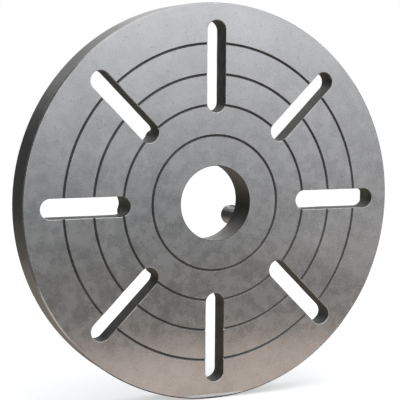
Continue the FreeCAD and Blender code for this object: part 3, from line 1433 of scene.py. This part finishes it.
FLOOR = -160.0 * MM
LOW = FLOOR + MM
FLAT, FACING, SIDEWAYS = (0.0, 0.0, 0.0), (90.0, 0.0, 0.0), (90.0, 0.0, 90.0)
STUDIO = Studio(
    lamps=(
        SoftBox("top_box", (0.2, -0.5, 1.6), (0.0, 0.0, 0.0), (1.4, 1.4), 9.0, (0.93, 0.97, 1.0)),
    ),
    cards=(
        Card("near_bounce", (0.15, -0.121, LOW + 2 * MM), (0.8, 0.178), FLAT, (0.70, 0.59, 0.51)),
        Card("front_flag", (-0.05, -0.56, LOW), (1.0, 0.70), FLAT, (0.16, 0.155, 0.14)),
        Card("right_card", (0.95, -0.66, LOW), (1.0, 0.90), FLAT, (0.61, 0.57, 0.55)),
        Card("far_card", (0.4, -1.66, LOW), (3.0, 1.50), FLAT, (0.125, 0.14, 0.143)),
        Card("horizon_card", (0.9, -2.4, 0.02), (4.0, 0.36), FACING, (0.60, 0.605, 0.62)),
        Card("front_wall", (0.9, -2.5, 0.65), (4.0, 0.9), FACING, (1.19, 1.20, 1.215)),
        Card("back_left", (-0.75, 0.95, 0.17), (0.94, 0.66), FACING, (0.08, 0.08, 0.08)),
        Card("back_low", (-0.065, 0.95, 0.045), (0.43, 0.41), FACING, (0.08, 0.08, 0.08)),
        Card("back_middle", (-0.15, 0.95, 0.425), (0.26, 0.35), FACING, (0.30, 0.30, 0.30)),
        Card("back_inner", (0.065, 0.95, 0.425), (0.17, 0.35), FACING, (0.55, 0.55, 0.55)),
        Card("back_right", (0.775, 0.95, 0.32), (1.25, 0.96), FACING, (1.0, 1.0, 1.0)),
        Card("back_near", (-0.05, 0.24, LOW), (0.9, 0.36), FLAT, (0.36, 0.32, 0.27)),
        Card("back_far", (-0.2, 0.96, LOW), (1.4, 1.08), FLAT, (0.15, 0.145, 0.12)),
        Card("left_wall", (-1.2, -0.05, 0.92), (1.9, 2.16), SIDEWAYS, (0.10, 0.10, 0.10)),
        Card("left_floor", (-0.73, -0.04, LOW), (0.94, 0.92), FLAT, (0.10, 0.10, 0.10)),
        Card("right_low", (1.5, 0.55, 0.17), (1.3, 0.66), SIDEWAYS, (0.12, 0.12, 0.12)),
        Card("right_high", (1.5, 0.55, 1.1), (1.3, 1.2), SIDEWAYS, (0.65, 0.65, 0.65)),
        Card("ceiling", (0.3, -0.2, 1.55), (2.2, 1.8), FLAT, (0.85, 0.85, 0.86)),
        # A dark card on the floor under the plate, seen only in reflections: painted shadow where the plate
        # stands on the floor.
        Card("contact_shadow_card", (0.03, 0.012, FLOOR - 0.05 * MM), (0.38, 0.096), FLAT, (0.08, 0.08, 0.08)),
    ),
)


# ---------------------------------------------------------------- assembly


def hand_over(piece: bpy.types.Object, slot: Slot, *nodes: str) -> None:
    """Makes a finished piece ride on the body in place of its CAD nodes, and reports it.

    Args:
        piece: the finished piece.
        slot: its material slot in the record. Not used.
        nodes: the CAD nodes it stands for.
    """
    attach(piece, BODY)
    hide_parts(*nodes)
    triangles = sum(len(face.vertices) - 2 for face in piece.data.polygons)
    LOG.info("%s: %d triangles, for %s", piece.name, triangles, ", ".join(nodes))


def main() -> None:
    """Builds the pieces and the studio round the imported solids."""
    logging.basicConfig(level=logging.INFO, format="%(name)s: %(message)s")
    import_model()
    cad_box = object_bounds()
    stud, screw, plate = CamStud(), LockScrew(), Faceplate()

    cutter = stud.seat_cutter(screw)
    seats = [Bench.copied(cutter, "hub_cutter", angle) for angle in stud.angles()]
    bpy.data.objects.remove(cutter)
    hand_over(plate.build(seats), Slot.PLATE, "faceplate")

    first_stud, first_screw = stud.shape(screw), screw.shape(stud)
    stud.remember_place(first_stud, stud.pitch_r)
    first_stud.data.materials.clear()
    first_stud.data.materials.append(STUD_STEEL.material())
    first_screw.data.materials.clear()
    first_screw.data.materials.append(SCREW_STEEL.material())
    for first in (first_stud, first_screw):
        Bench.smooth(first)
    for number, angle in enumerate(stud.angles(), start=1):
        hand_over(Bench.copied(first_stud, "camlock_stud_%d" % number, angle), Slot.STUD,
                  "cam_stud_%d" % number)
        hand_over(Bench.copied(first_screw, "lock_screw_%d" % number, angle), Slot.SCREW,
                  "stud_lock_screws")
    for first in (first_stud, first_screw):
        bpy.data.objects.remove(first)

    STUDIO.build(cad_box[0].z - 0.1 * MM)


if __name__ == "__main__":
    main()
